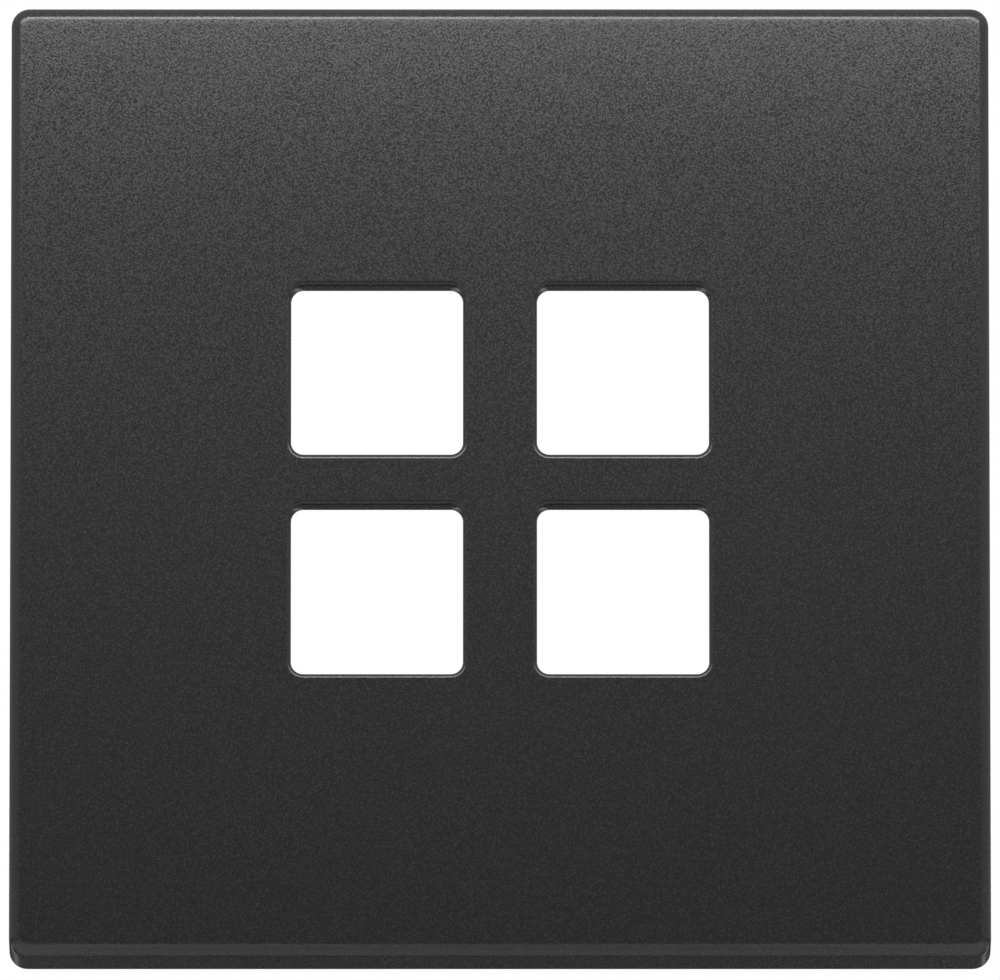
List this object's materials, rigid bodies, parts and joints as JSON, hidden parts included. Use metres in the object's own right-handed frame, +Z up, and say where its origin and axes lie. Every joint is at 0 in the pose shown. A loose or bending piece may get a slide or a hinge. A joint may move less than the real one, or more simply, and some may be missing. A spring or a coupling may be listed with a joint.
{
  "type": "switch plate",
  "caption": "Square moulded cover plate for a push-button light switch: flat face with rounded edges, rounded-square key openings, skirt and ribbed open back with snap lugs.",
  "frame": {"origin": "centre of the rear rim plane, where the plate lies on the wall", "axes": "upright as on the wall: +X to the right, +Z up, +Y out of the open back into the wall; the face looks along -Y"},
  "size_m": [0.086, 0.0056, 0.086],
  "materials": {
    "anthracite_lacquer": "fine-grained matt anthracite lacquer on moulded plastic"
  },
  "bodies": {
    "root": {"switch_plate": "anthracite_lacquer"}
  },
  "joints": []
}
